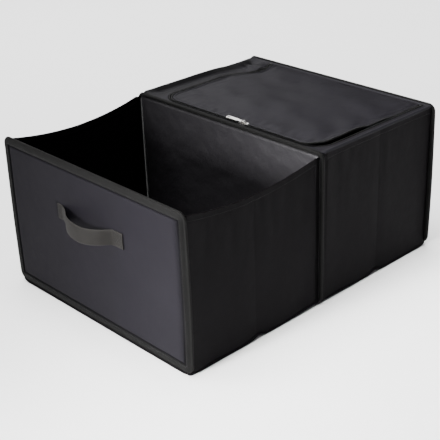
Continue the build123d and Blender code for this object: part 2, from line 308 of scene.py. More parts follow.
# ---- materials -------------------------------------------------------------------
class Nodes:
    """Short calls for building one material's nodes."""

    def __init__(self, name):
        self.material = bpy.data.materials.new(name)
        self.material.use_nodes = True
        self.tree = self.material.node_tree
        self.shader = self.tree.nodes["Principled BSDF"]

    def add(self, kind, inputs=(), **settings):
        node = self.tree.nodes.new(kind)
        for key, value in settings.items():
            setattr(node, key, value)
        for key, value in dict(inputs).items():
            if isinstance(value, bpy.types.NodeSocket):
                self.tree.links.new(value, node.inputs[key])
            else:
                node.inputs[key].default_value = value
        return node

    def place(self, has_uv):
        node = self.add("ShaderNodeTexCoord")
        return node.outputs["UV" if has_uv else "Object"]

    def noise(self, place, scale, detail=3.0, rough=0.55):
        inputs = {"Vector": place, "Scale": scale, "Detail": detail, "Roughness": rough}
        return self.add("ShaderNodeTexNoise", inputs).outputs["Fac"]

    def wave(self, place, scale, direction, distortion):
        inputs = {"Vector": place, "Scale": scale, "Distortion": distortion}
        return self.add("ShaderNodeTexWave", inputs, bands_direction=direction).outputs["Fac"]

    def maths(self, operation, a, b):
        return self.add("ShaderNodeMath", {0: a, 1: b}, operation=operation).outputs[0]

    def between(self, value, low, high):
        inputs = {"Value": value, "To Min": low, "To Max": high}
        return self.add("ShaderNodeMapRange", inputs).outputs[0]

    def mix(self, share, a, b):
        node = self.add("ShaderNodeMix", data_type="RGBA")
        for key, value in ((0, share), (6, a), (7, b)):
            if isinstance(value, bpy.types.NodeSocket):
                self.tree.links.new(value, node.inputs[key])
            else:
                node.inputs[key].default_value = value
        return node.outputs[2]

    def bump(self, height, strength, distance, under=None):
        inputs = {"Height": height, "Strength": strength, "Distance": distance}
        if under is not None:
            inputs["Normal"] = under
        return self.add("ShaderNodeBump", inputs).outputs["Normal"]

    def link(self, output, socket):
        self.tree.links.new(output, self.shader.inputs[socket])

    def settle(self, socket, value):
        self.shader.inputs[socket].default_value = value

    def wear_and_painted_light(self, most):
        """How much lighter (up to most) and how much darker each place is, from the pieces' tone: the
        lightening is partly wear and partly painted highlight, the darkening is painted shade.
        """
        tone = self.add("ShaderNodeAttribute", attribute_name="tone").outputs["Fac"]
        lightening = self.add("ShaderNodeMapRange", {"Value": tone, "To Max": most}, clamp=True)
        dark = {"Value": tone, "From Min": 0.0, "From Max": -1.0, "To Max": 0.9}
        return lightening.outputs[0], self.add("ShaderNodeMapRange", dark, clamp=True).outputs[0]


def grey(level, warm=0.0, plum=0.0):
    """A near-grey colour: warm raises red over blue, and plum lowers green."""
    return (level * (1 + warm), level * (1 - plum), level * (1 - warm), 1.0)


def cloth_material(name, level, warm=0.0, rough=0.6, weave=0.75 * MM, depth=0.25, sheen=0.0,
                   crumple=0.35, specular=0.5, plum=0.1, has_uv=True):
    """Black woven cloth: thread weave, faint blotches, lighter ridges (partly wear, partly painted highlight)
    and painted shade in seams, creases and on parts turned from the light. level is how light it is, weave
    the threads' pitch, depth their relief and crumple the creases'."""
    n = Nodes(name)
    place = n.place(has_uv)
    blotch = n.noise(place, 14.0, 4.0)
    fibre = n.noise(place, 900.0, 2.0)
    dull, bright = grey(level * 0.78, warm, plum), grey(level * 1.28, warm, plum)
    colour = n.mix(n.between(blotch, 0.0, 1.0), dull, bright)
    colour = n.mix(n.between(fibre, 0.0, 0.45), colour, grey(level * 1.7, warm, plum))
    # the tone's lighter share is part wear, part painted highlight; its darker share is painted shade, mixed
    # towards near black
    light, dark = n.wear_and_painted_light(0.75)
    scuff_and_highlight = n.maths("MULTIPLY", light, n.between(n.noise(place, 220.0, 3.0), 0.45, 1.3))
    colour = n.mix(scuff_and_highlight, colour, grey(level * 3.2, warm + 0.02, plum / 2))
    colour = n.mix(dark, colour, grey(level * 0.12, warm, plum))
    n.link(colour, "Base Color")
    warp_threads, weft = (n.wave(place, WAVE / weave, way, 0.4) for way in "XY")
    threads = n.maths("MULTIPLY", warp_threads, weft)
    soft = n.bump(n.noise(place, 34.0, 5.0, 0.6), crumple, 0.0016)
    n.link(n.bump(threads, depth, 0.00016, soft), "Normal")
    n.link(n.between(n.noise(place, 60.0, 4.0), rough - 0.07, rough + 0.07), "Roughness")
    n.settle("Sheen Weight", sheen)
    n.settle("Sheen Roughness", 0.45)
    n.settle("Specular IOR Level", specular)
    return n.material


def ribbed_material(name, level, warm, rough, pitch, across):
    """Woven tape or webbing: ribs of one pitch, crossed by fine weft."""
    n = Nodes(name)
    place = n.place(True)
    weft_pitch = 0.9 * MM
    ribs = n.wave(place, WAVE / pitch, across, 0.3)
    weft = n.wave(place, WAVE / weft_pitch, "X" if across == "Y" else "Y", 0.8)
    fibre = n.noise(place, 1200.0, 2.0)
    shade = n.maths("MULTIPLY", ribs, n.between(fibre, 0.6, 1.2))
    colour = n.mix(shade, grey(level * 0.5, warm), grey(level * 1.35, warm))
    colour = n.mix(n.between(n.noise(place, 25.0, 3.0), 0.0, 0.35), colour, grey(level * 1.9, warm))
    # the tone lightens the tape (partly wear, partly painted highlight on its top) and darkens it with
    # painted shade
    light, dark = n.wear_and_painted_light(0.7)
    colour = n.mix(light, colour, grey(level * 2.6, warm))
    colour = n.mix(dark, colour, grey(level * 0.15, warm))
    n.link(colour, "Base Color")
    height = n.maths("ADD", ribs, n.maths("MULTIPLY", weft, n.between(fibre, 0.2, 0.5)))
    n.link(n.bump(height, 0.6, 0.00025), "Normal")
    n.link(n.between(n.noise(place, 90.0, 3.0), rough - 0.08, rough + 0.08), "Roughness")
    n.settle("Specular IOR Level", 0.04)
    return n.material


def metal_material(name):
    """Die-cast nickel: fine scratches, and duller patches from handling."""
    n = Nodes(name)
    place = n.place(False)
    stretched = n.add("ShaderNodeMapping", {"Vector": place, "Scale": (1.0, 0.08, 1.0)}).outputs[0]
    scratches = n.noise(stretched, 2600.0, 3.0, 0.7)
    patches = n.noise(place, 180.0, 3.0)
    n.link(n.mix(patches, grey(0.62, 0.03), grey(0.8, 0.02)), "Base Color")
    n.link(n.between(n.maths("MULTIPLY", scratches, patches), 0.16, 0.5), "Roughness")
    n.link(n.bump(scratches, 0.25, 0.00006), "Normal")
    n.settle("Metallic", 1.0)
    return n.material


def nylon_material(name, level):
    """Moulded zip teeth and waxed thread: satin black with a fine grain."""
    n = Nodes(name)
    place = n.place(True)
    grain = n.noise(place, 1500.0, 2.0)
    n.link(n.mix(grain, grey(level * 0.7), grey(level * 1.4)), "Base Color")
    n.link(n.between(n.noise(place, 300.0, 2.0), 0.28, 0.5), "Roughness")
    n.link(n.bump(grain, 0.2, 0.00008), "Normal")
    n.settle("Specular IOR Level", 0.2)
    return n.material


outer_cloth = cloth_material("outer_polyester", 0.0060, -0.08, rough=0.55, crumple=0.3,
                             specular=0.02, plum=0.16)
# painted shade: the same black polyester as the outer cloth at about a third of its lightness, for the side
# walls, floor cloth and divider seams
shaded_side_cloth = cloth_material("side_wall_polyester_shaded", 0.0019, crumple=0.6, specular=0.03, plum=0.2)
lining_cloth = cloth_material("coated_lining", 0.0105, -0.03, rough=0.36, weave=0.6 * MM, depth=0.15,
                              crumple=0.9, specular=0.6)
lid_cloth = cloth_material("lid_polyester", 0.0072, -0.08, rough=0.5, crumple=0.5, specular=0.055,
                           plum=0.16)
board_wrap = cloth_material("base_board_wrap", 0.007, rough=0.55, depth=0.3, specular=0.2)
board_core = cloth_material("stiffener_board", 0.2, 0.12, rough=0.8, depth=0.05, sheen=0.15,
                            has_uv=False)
binding_tape = ribbed_material("edge_binding_tape", 0.0030, 0.02, 0.6, 1.2 * MM, "Y")
webbing = ribbed_material("handle_webbing", 0.0092, 0.06, 0.6, 1.9 * MM, "Y")
zip_tape = ribbed_material("zip_tape_weave", 0.004, 0.0, 0.7, 0.9 * MM, "X")
teeth = nylon_material("zip_teeth_nylon", 0.0025)
thread = nylon_material("sewing_thread", 0.0012)
nickel = metal_material("nickel_zip_metal")


# ---- upright panels ----------------------------------------------------------------
def panel_outline(inset, foot, count=420):
    """Points (y, z) and outward normals round a panel, inset from its edge."""
    radius = CORNER - inset
    y1, z0, z1 = half_width - inset, foot + inset, top_z - inset
    straight_y, straight_z = 2 * (y1 - radius), z1 - z0 - 2 * radius
    arc = math.pi / 2 * radius
    s = np.arange(count) * (2 * (straight_y + straight_z) + 4 * arc) / count
    points, normals = [], []
    starts = [((y1, z0 + radius), 0), ((y1 - radius, z1), 90),
              ((-y1, z1 - radius), 180), ((-y1 + radius, z0), 270)]
    for value in s:
        for (start, heading), straight in zip(starts, (straight_z, straight_y) * 2):
            a = math.radians(heading)
            normal, along = np.array([math.cos(a), math.sin(a)]), np.array([-math.sin(a), math.cos(a)])
            if value <= straight:
                points.append(np.array(start) + along * value)
                normals.append(normal)
                break
            value -= straight
            if value < arc:
                centre = np.array(start) + along * straight - normal * radius
                turn = a + value / radius
                normals.append(np.array([math.cos(turn), math.sin(turn)]))
                points.append(centre + radius * normals[-1])
                break
            value -= arc
    return np.array(points), np.array(normals)


def sewn_sway(y, z, foot, amount):
    """How far a panel's side edges bow outwards, as y to add."""
    share = np.clip((z - foot) / (top_z - foot), 0, 1)
    return np.sign(y) * smooth(0.12, half_width, np.abs(y)) * amount * np.sin(math.pi * share ** 0.8)


def inset_grid(foot, inset):
    """A grid over a panel's face with rounded corners: y, z and each point's distance in
    from the panel's edge."""
    y1, z0, z1 = half_width - inset, foot + inset, top_z - inset
    coarse, fine, rim = 6 * MM, 1.2 * MM, 8 * MM
    y = stations(-y1, y1, coarse, fine, (-y1 + rim, y1 - rim), 9 * MM)
    z = stations(z0, z1, coarse, fine, (z0 + rim, z1 - rim), 9 * MM)
    y, z = grid(y, z)
    radius, middle = CORNER - inset, (z0 + z1) / 2
    a = np.clip((np.abs(y) - (y1 - radius)) / radius, 0, 1)
    b = np.clip((np.abs(z - middle) - ((z1 - z0) / 2 - radius)) / radius, 0, 1)
    y = y + np.sign(y) * radius * rounding(a, b)
    z = z + np.sign(z - middle) * radius * rounding(b, a)
    past_y = np.abs(y) - (half_width - CORNER)
    past_z = np.abs(z - (foot + top_z) / 2) - ((top_z - foot) / 2 - CORNER)
    round_part = CORNER - np.hypot(np.maximum(past_y, 0), np.maximum(past_z, 0))
    depth = np.where((past_y > 0) & (past_z > 0), round_part, CORNER - np.maximum(past_y, past_z))
    return y, z, depth


def handle_slits(y, z):
    """1 in the slits where the handle's sewn ends meet the cloth, and 0 elsewhere."""
    ends = sum(bump(y, end * (anchor_hi.y + 1.6 * MM), 1.0 * MM) for end in (-1, 1))
    return ends * (1 - smooth(15, 18, np.abs(z - handle_z) / MM))


def panel_face(name, node, body, x_mid, facing, foot, material, seed, wrinkles, sway=0.0,
               slits=False, fade_and_shade_right=False, seam_in=SEAM_IN, seam_depth=1.0):
    """The cloth over one face of a panel, sunk along the seam round the board. With
    fade_and_shade_right the seam is pulled almost smooth on the right, and the face is darkened towards its
    right edge with painted shade."""
    y, z, depth = inset_grid(foot, 2.5 * MM)
    height = core_half + 0.25 * MM * soft_noise(y, z, 90 * MM, seed)
    seam = seam_depth * bump(depth, seam_in, 1.3 * MM)
    board_y = half_width - SEAM_IN
    if fade_and_shade_right:
        mid_height = smooth(0.03, 0.08, z) * (1 - smooth(0.22, 0.26, z))
        seam = seam * (1 - 0.85 * smooth(0.1, board_y, -y) * mid_height)
    height += 0.55 * MM * smooth(seam_in, seam_in + 4 * MM, depth) - 0.75 * MM * seam
    # painted shade in the seam groove, and a painted highlight on the ridge beside it
    tone = -0.95 * seam + 0.12 * seam_depth * bump(depth, seam_in + 3.4 * MM, 1.4 * MM)
    # painted shade: with fade_and_shade_right the face darkens towards its right edge, which turns from the
    # light
    if fade_and_shade_right:
        tone -= 0.7 * smooth(board_y - 14 * MM, board_y, -y)
    inside = smooth(seam_in, seam_in + 24 * MM, depth)
    folds = soft_noise(y * 0.6 + z, z * 0.45 - y * 0.2, 34 * MM, seed + 3)
    height += wrinkles * inside * (0.6 * folds + 0.4 * soft_noise(y, z, 16 * MM, seed + 5))
    # painted shadow in the slits at the handle's sewn ends, which are also sunk
    if slits:
        slit = handle_slits(y, z)
        height -= 0.8 * MM * slit
        tone -= 1.2 * slit
    y = y + sewn_sway(y, z, foot, sway)
    front = place_at(x_mid + facing * height, y, z)
    back = place_at(x_mid + facing * (board_half + 0.05 * MM), y, z)
    cloth = Cloth()
    cloth.sheet(front, back, place_at(y, z), np.clip(tone, -1, 1))
    piece = cloth.make(name, material)
    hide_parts(node)
    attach(piece, body)


def panel_binding(name, node, body, x_mid, foot, seed, sway=0.0, reach=1.0):
    """Binding tape folded over a panel's edge, with a bead on each face. reach scales how
    far the tape comes in from the edge."""
    # half of the tape's section in mm, as (in from the edge, out from the middle, tone); the tone is lighter
    # round the fold and beads, and darker on the tape's inside, a painted shade
    outer = [(13.4, 2.7, -0.1), (12.4, 3.1, 0.1), (10.4, 3.4, 0.05), (8.0, 3.45, 0.0), (5.6, 3.3, 0.0),
             (3.4, 2.95, 0.05), (1.6, 2.3, 0.45), (0.4, 1.3, 0.6)]
    inner = [(13.4, 2.5, -0.5), (7.0, 2.5, -0.5), (1.1, 1.5, -0.5)]
    section = outer + [(-0.1, 0.0, 0.2)] + [(a, -b, t) for a, b, t in outer[::-1]]
    section += [(a, -b, t) for a, b, t in inner] + [(0.9, 0.0, -0.5)] + inner[::-1]
    profile, tone = [(a, b) for a, b, _ in section], [t for _, _, t in section]
    points, normals = panel_outline(0, foot)
    length = np.arange(len(points)) * 3.2 * MM
    loose = 0.3 * soft_noise(length, length * 0, 22 * MM, seed)
    rings = []
    for (point, normal, slack) in zip(points, normals, loose):
        ring = []
        for a, b in profile:
            a = a * (reach if a > 3 else 1)
            stretch = 1 + 0.06 * slack if a > 5 else 1
            y, z = point - normal * (a * stretch - 0.35 * slack) * MM
            bead = 0.55 * MM if a < 2 and abs(b) > 1.5 else 0
            y, z = np.array([y, z]) + normal * bead
            y += float(sewn_sway(np.array(y), np.array(z), foot, sway))
            ring.append((x_mid + b * MM, y, z))
        rings.append(ring)
    cloth = Cloth()
    # painted light by facing: the tape's faces are lightened along the top and darkened along the sides and
    # underneath, as the light falls
    upright, up = np.abs(normals[:, 0]), normals[:, 1]
    shade = 0.2 * np.clip(up, 0, 1) - 0.9 * upright - 0.3 * np.clip(-up, 0, 1)
    on_face = np.array([a > 3 for a, _ in profile])
    cloth.tube(np.array(rings), True, tone=np.clip(np.array(tone) + shade[:, None] * on_face, -1, 1))
    piece = cloth.make(name, binding_tape)
    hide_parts(node)
    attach(piece, body)
    threads = Cloth()
    for face in (-1, 1):
        line, _ = panel_outline(10.6 * reach * MM, foot, 300)
        y = line[:, 0] + sewn_sway(line[:, 0], line[:, 1], foot, sway)
        path = place_at(x_mid + face * 3.3 * MM, y, line[:, 1])
        threads.stitches(path, (face, 0, 0), STITCH, THREAD)
    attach(threads.make(name + "_stitches", thread), body)


for end, side in (("front", -1), ("rear", 1)):
    body, x_mid = f"{end}_panel", side * panel_mid
    panel_face(f"{body}_outer_cloth", f"{body}_cover", body, x_mid, side, FOOT, outer_cloth,
               3 + side, 0.3 * MM, PANEL_SWAY, slits=True, fade_and_shade_right=end == "front")
    panel_face(f"{body}_inner_cloth", f"{body}_lining", body, x_mid, -side, FOOT, lining_cloth,
               9 + side, 0.6 * MM, PANEL_SWAY)
    panel_binding(f"{body}_edge_binding", f"{body}_binding", body, x_mid, FOOT, 5 + side, PANEL_SWAY)
for end, side, seed, wrinkles in (("front", -1, 21, 1.9 * MM), ("rear", 1, 24, 0.8 * MM)):
    panel_face(f"divider_{end}_cloth", f"divider_{end}_cover", "divider", 0, side, DIVIDER_FOOT,
               lining_cloth, seed, wrinkles, seam_in=DIVIDER_SEAM_IN, seam_depth=0.3)
panel_binding("divider_edge_binding", "divider_binding", "divider", 0, DIVIDER_FOOT, 27, reach=0.5)


# ---- side walls ----------------------------------------------------------------------
def wall_top(x, is_open):
    """Height of a wall's top edge, x away from the divider."""
    if not is_open:
        return np.full_like(x, closed_top)
    share = (x - crease_x) / (wall_x1 - crease_x)
    return open_top - sag * (1 - share ** 2)


def hem_lift(x, is_open):
    """How far the base seam lifts off the ground under a side wall: at the crease, and a
    little towards the divider."""
    kink = 4.6 * MM * bump(x, crease_x - 4 * MM, 12 * MM)
    ends = (2.6 if is_open else 0.8) * MM * bump(x, wall_x0, 36 * MM)
    return kink + ends + 1.0 * MM * smooth(crease_x, wall_x0, x)


def side_wall(end, hand):
    """One soft side wall in a single piece, creased half way, with a hem along its top."""
    side, left, is_open = (-1 if end == "front" else 1), (1 if hand == "left" else -1), end == "front"
    seed = 31 + 5 * side + 2 * left
    x = stations(wall_x0 + 0.2 * MM, wall_x1, 4.5 * MM, 0.9 * MM, (wall_x0, crease_x, wall_x1), 3.5 * MM)
    share = stations(0, 1, 0.018, 0.0035, (0.0, 0.955, 1.0), 0.012)
    x, share = grid(x, share)
    top = wall_top(x, is_open)
    away = np.abs(x - crease_x)
    foot = FOOT - 0.6 * MM + hem_lift(x, is_open)
    z = foot + (top - foot) * share
    below = top - z
    rise = (z - FOOT) / open_top
    soft = math.pi * (x - wall_x0) / (wall_x1 - wall_x0)
    bow = (1.6 if is_open else 0.8) * MM * np.sin(soft) * smooth(0.1, 1.0, rise)
    crease = 0.35 * MM * bump(x, crease_x, 2.5 * MM) + 1.3 * MM * bump(x, crease_x, 13 * MM)
    folds = soft_noise(x, z * 0.2, 13 * MM, seed + 1)
    upper = smooth(0.35, 0.95, rise) * (1 - smooth(0.0, 1.0, (HEM * 1.2 - below) / (6 * MM)))
    wrinkle = (2.2 if is_open else 1.2) * MM * np.clip(folds * 0.9 + 0.25, 0, 1) * upper
    drape = 2.4 * MM * (0.5 + 0.5 * soft_noise(x + 0.35 * z, 0.5 * z - 0.2 * x, 62 * MM, seed + 2))
    corner = 1.6 * MM * (0.5 + 0.5 * soft_noise(x - z, x * 0.3, 24 * MM, seed + 4)) * bump(z, 0.0, 60 * MM)
    corner = corner * smooth(0.02, 0.11, away)
    curl = 1.3 * MM * rolled((z - foot) / (4.5 * MM))
    reach = 4 * MM
    turn_in = (1.6 if is_open else 0.7) * MM * rolled((x - wall_x0) / reach)
    turn_in += 1.6 * MM * rolled((wall_x1 - x) / (reach * 0.8))
    hem_seam = bump(below, HEM, 0.9 * MM)
    drape = drape * smooth(wall_x0, wall_x0 + 30 * MM, x) * smooth(wall_x1, wall_x1 - 30 * MM, x)
    deep = bow + crease + wrinkle + drape + corner + curl + turn_in + 0.5 * MM * hem_seam
    doubled = 1 - smooth(HEM, HEM + 1.5 * MM, below)
    thick = WALL_THICK + 0.8 * MM * doubled
    room = 1.9 * MM + 0.033 * np.minimum(wall_x1 - x, wall_x1 - crease_x) - 0.7 * MM * doubled
    deep = room * (1 - np.exp(-deep / room))
    # painted shade in the hem seam, deeper on the open front walls, and a lighter line along the top fold
    tone = (-0.4 if is_open else -0.15) * hem_seam + 0.3 * bump(below, 0.0, 1.6 * MM)
    outer = place_at(side * x, left * (wall_y - deep), z)
    inner = place_at(side * x, left * (wall_y - deep - thick), z + 0.2 * MM)
    cloth = Cloth()
    cloth.sheet(outer, inner, place_at(x, z), np.clip(tone, -1, 1))
    piece = cloth.make(f"{end}_{hand}_side_wall", shaded_side_cloth)
    names = [f"{end}_{hand}_{kind}_{half}" for kind in ("wall", "hem") for half in ("inner", "outer")]
    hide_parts(*names)
    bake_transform(piece)
    row = int(np.argmin(np.abs(below[0] - HEM + 1.8 * MM)))
    threads = Cloth()
    threads.stitches(outer[3:-3, row] + [0, left * 0.1 * MM, 0], (0, left, 0), 4 * MM, 0.27 * MM)
    stitching = threads.make(f"{end}_{hand}_hem_stitches", thread)
    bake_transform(stitching)


for end in ("front", "rear"):
    for hand in ("left", "right"):
        side_wall(end, hand)


def seam_strips():
    """The walls' seam allowance on the divider: recessed in front, flush behind."""
    cloth = Cloth()
    for side in (-1, 1):
        top = open_top if side < 0 else closed_top
        near, far = panel_half + 0.3 * MM, wall_x0 - 0.1 * MM
        sunk = 1.1 * MM if side < 0 else 0.4 * MM
        x = np.linspace(near, far, 9)
        z = np.linspace(2.5 * MM, top - 0.3 * MM, 60)
        x, z = grid(x, z)
        hollow = 0.3 * MM * np.sin(math.pi * (x - near) / (far - near)) * (1 if side < 0 else 0.4)
        ripple = 0.15 * MM * soft_noise(z, z * 0 + side, 20 * MM, 50)
        for left in (-1, 1):
            y = wall_y - sunk - hollow + ripple
            outer = place_at(side * x, left * y, z)
            inner = place_at(side * x, left * (y - 0.5 * MM), z)
            # painted shade: the recessed front strips are darkened much more than the flush rear ones
            tone = np.full_like(x, -0.9 if side < 0 else -0.1)
            cloth.sheet(outer, inner, place_at(x, z), tone)
    piece = cloth.make("divider_wall_seams", shaded_side_cloth)
    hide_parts("divider_side_seams")
    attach(piece, "divider")


seam_strips()


# ---- base ------------------------------------------------------------------------------
def base_board(end, side):
    """The wrapped base board in one piece, with its fold half way."""
    fold = (leaf_hi.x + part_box("rear_base_board_outer")[0].x) / 2
    x0, x1, half = leaf_lo.x + 1 * MM, leaf_end - 1 * MM, leaf_hi.y - 1 * MM
    x = stations(x0, x1, 8 * MM, 0.8 * MM, (x0, fold, x1), 3 * MM)
    y = stations(-half, half, 8 * MM, 1.2 * MM, (-half, half), 4 * MM)
    x, y = grid(x, y)
    edge = np.minimum(np.minimum(x - x0, x1 - x), half - np.abs(y))
    groove = bump(x, fold, 1.6 * MM)
    lift = -0.7 * MM * (1 - smooth(0, 3 * MM, edge)) - 1.5 * MM * groove
    lift += 0.25 * MM * soft_noise(x, y, 40 * MM, 60 + side) * smooth(0, 10 * MM, edge)
    low = 0.5 * MM * (1 - smooth(0, 3 * MM, edge))
    upper = place_at(side * x, y, leaf_hi.z + lift)
    lower = place_at(side * x, y, leaf_lo.z + low)
    # painted shade in the fold groove, and lighter rims along the edges
    tone = -0.7 * groove + 0.35 * bump(edge, 1.0 * MM, 1.2 * MM)
    cloth = Cloth()
    cloth.sheet(upper, lower, place_at(x, y), tone)
    board = cloth.make(f"{end}_base_board", board_wrap)
    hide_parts(f"{end}_base_board_inner", f"{end}_base_board_outer")
    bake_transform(board)


def floor_seam(far, half, side, is_open):
    """The rings of the rolled seam round the floor's three free edges."""
    corner, around = FLOOR_CORNER, np.arange(12) * math.pi / 6
    turn = np.linspace(0, math.pi / 2, 13)[1:-1]
    run = np.linspace(panel_half + 0.4 * MM, far - corner, 110)
    across = np.linspace(corner - half, half - corner, 120)
    arc = [(far - corner * (1 - nx), half - corner * (1 - ny), nx, ny)
           for nx, ny in zip(np.sin(turn), np.cos(turn))]
    path = [(x, -half, 0, -1) for x in run] + [(x, -y, nx, -ny) for x, y, nx, ny in arc]
    path += [(far, y, 1, 0) for y in across] + arc[::-1] + [(x, half, 0, 1) for x in run[::-1]]
    rings = []
    for x, y, nx, ny in path:
        lift = float(hem_lift(np.array(x), is_open)) * abs(ny)
        lift += 3.5 * MM * float(bump(math.hypot(x - far, abs(y) - half), 0, 7 * MM))
        wide = FLOOR_ROLL * (1 + 0.25 * abs(nx))
        out, up = wide * np.cos(around), FLOOR_ROLL * np.sin(around)
        rings.append(place_at(side * (x + nx * out), y + ny * out, FLOOR_ROLL + 0.1 * MM + lift + up))
    return np.array(rings)


def floor_cloth(end, side):
    """The cloth floor under a base board, with its rolled seam."""
    far, half, corner = panel_mid, wall_y - FLOOR_ROLL, FLOOR_CORNER
    x = stations(0.1 * MM, far, 9 * MM, 1.0 * MM, (far,), 3 * MM)
    y = stations(-half, half, 9 * MM, 1.0 * MM, (-half, half), 3 * MM)
    x, y = grid(x, y)
    a = np.clip((x - far + corner) / corner, 0, 1)
    b = np.clip((np.abs(y) - half + corner) / corner, 0, 1)
    x = x + corner * rounding(a, b)
    y = y + np.sign(y) * corner * rounding(b, a)
    ruck = 0.2 * MM * soft_noise(x, y, 30 * MM, 70 + side)
    edge_lift = hem_lift(x, end == "front") * smooth(half - 14 * MM, half - 2 * MM, np.abs(y))
    edge_lift = edge_lift * smooth(panel_half, panel_half + 8 * MM, x)
    upper = place_at(side * x, y, 1.1 * MM + ruck + edge_lift)
    lower = place_at(side * x, y, 0.2 * MM + edge_lift)
    cloth = Cloth()
    cloth.sheet(upper, lower, place_at(x, y))
    cloth.tube(floor_seam(far, half, side, end == "front"), False)
    floor = cloth.make(f"{end}_floor_cloth", shaded_side_cloth)
    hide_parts(f"{end}_base_cloth")
    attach(floor, "divider")
    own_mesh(floor)


for end, side in (("front", -1), ("rear", 1)):
    base_board(end, side)
    floor_cloth(end, side)


# ---- cloth top, zip and lid --------------------------------------------------------------
SIDE_STEPS, ARC_STEPS, FRONT_STEPS = 90, 22, 110


def zip_line(offset, rear_x):
    """Points (x, y) and outward normals along the zip, moved outwards by offset, from its
    right rear end round the front to its left rear end."""
    centre_x = zip_x + ZIP_CORNER
    radius = ZIP_CORNER + offset
    stops = rear_x, top_crease + 8 * MM, top_crease - 8 * MM, centre_x
    side_x = np.concatenate([np.linspace(a, b, SIDE_STEPS // 3, endpoint=False)
                             for a, b in zip(stops, stops[1:])])
    turn = np.linspace(0, math.pi / 2, ARC_STEPS, endpoint=False)
    right_y, left_y = zip_right + ZIP_CORNER, zip_left - ZIP_CORNER
    front_y = np.linspace(right_y, left_y, FRONT_STEPS, endpoint=False)
    points = [place_at(side_x, zip_right - offset),
              place_at(centre_x - radius * np.sin(turn), right_y - radius * np.cos(turn)),
              place_at(zip_x - offset, front_y),
              place_at(centre_x - radius * np.cos(turn), left_y + radius * np.sin(turn)),
              place_at(side_x[::-1], zip_left + offset)]
    normals = [np.tile([0, -1.0], (len(side_x), 1)), place_at(-np.sin(turn), -np.cos(turn)),
               np.tile([-1.0, 0], (len(front_y), 1)), place_at(-np.cos(turn), np.sin(turn)),
               np.tile([0, 1.0], (len(side_x), 1))]
    return np.concatenate(points), np.concatenate(normals)


def warp(points):
    """Pulls the zip line's left rear end inwards, where the cloth is tucked."""
    out = points.copy()
    x, y = points[..., 0], points[..., 1]
    pull = smooth(0.165, 0.235, x) * bump(y, zip_left, 46 * MM) * (1 - 0.35 * smooth(0.25, 0.28, x))
    out[..., 1] = y - 26 * MM * pull
    return out


def undone(points, depth):
    """Draws the undone edge of the lid inwards, which opens a gap along the zip."""
    out = points.copy()
    x, y = points[..., 0], points[..., 1]
    near_right = smooth(zip_right + 34 * MM, zip_right + 8 * MM, y)
    ahead = 1 - smooth(top_crease - 25 * MM, top_crease + 30 * MM, x)
    gap = (3.2 + 1.4 * np.sin(x * 62)) * MM * near_right * ahead
    out[..., 1] = y + gap * np.exp(-np.maximum(depth, 0) / (25 * MM))
    return out


def inside_zip(x, y):
    """How far a point lies inside the zip line, negative outside it."""
    cx, half = zip_x + ZIP_CORNER, (zip_left - zip_right) / 2
    qx = cx - x
    qy = np.abs(y - (zip_left + zip_right) / 2) - (half - ZIP_CORNER)
    corner = ZIP_CORNER - np.hypot(np.maximum(qx, 0), np.maximum(qy, 0))
    return np.where((qx > 0) & (qy > 0), corner, ZIP_CORNER - np.maximum(qx, qy))


def open_share(x, y):
    """Where the zip is undone: from the slider round the right corner, less to the rear."""
    front = 1 - smooth(-150 * MM, slider_y - 12 * MM, y)
    along_side = 1 - smooth(top_crease - 0.02, lid_hi.x - 0.05, x)
    on_side = smooth(zip_right + 60 * MM, zip_right + 20 * MM, y)
    return front * (1 - on_side) + along_side * on_side


def lid_rise(x, y):
    """Height of the lid's cloth over its flat place: dome, wrinkles and undone edge."""
    depth = np.maximum(inside_zip(x, y), 0)
    dome = 3.2 * MM * smooth(4 * MM, 95 * MM, depth) * (1 - smooth(0.235, lid_hi.x, x))
    wrinkles = soft_noise(x * 0.8, y * 1.6, 15 * MM, 81) * bump(depth, 17 * MM, 15 * MM) * 1.8 * MM
    folds = soft_noise(x + 0.3 * y, 0.7 * y - 0.5 * x, 48 * MM, 82)
    folds = folds * smooth(6 * MM, 40 * MM, depth) * 3.4 * MM
    side_edge = smooth(zip_right + 38 * MM, zip_right + 10 * MM, y)
    corner = bump(np.hypot(x - 42 * MM, y - zip_right - 2 * MM), 0, 36 * MM)
    waves = 3.4 * MM * bump(x, 0.09, 0.028) + 3.0 * MM * bump(x, 0.185, 0.022)
    waves -= 1.8 * MM * bump(x, top_crease - 4 * MM, 9 * MM)
    lift = 0.6 * MM + (2.0 * MM + waves) * side_edge + 2.4 * MM * corner
    lift = lift * open_share(x, y) * np.exp(-depth / (20 * MM))
    lift = lift * (1 - 0.9 * smooth(zip_right + 30 * MM, zip_right + 42 * MM, y))
    tuck = 1.6 * MM * bump(np.hypot(x - 0.238, y - zip_left + 12 * MM), 0, 18 * MM)
    calm = 1 - 0.8 * bump(y, slider_y, 30 * MM) * bump(x, zip_x, 18 * MM)
    return (dome + wrinkles + folds) * calm + lift - tuck


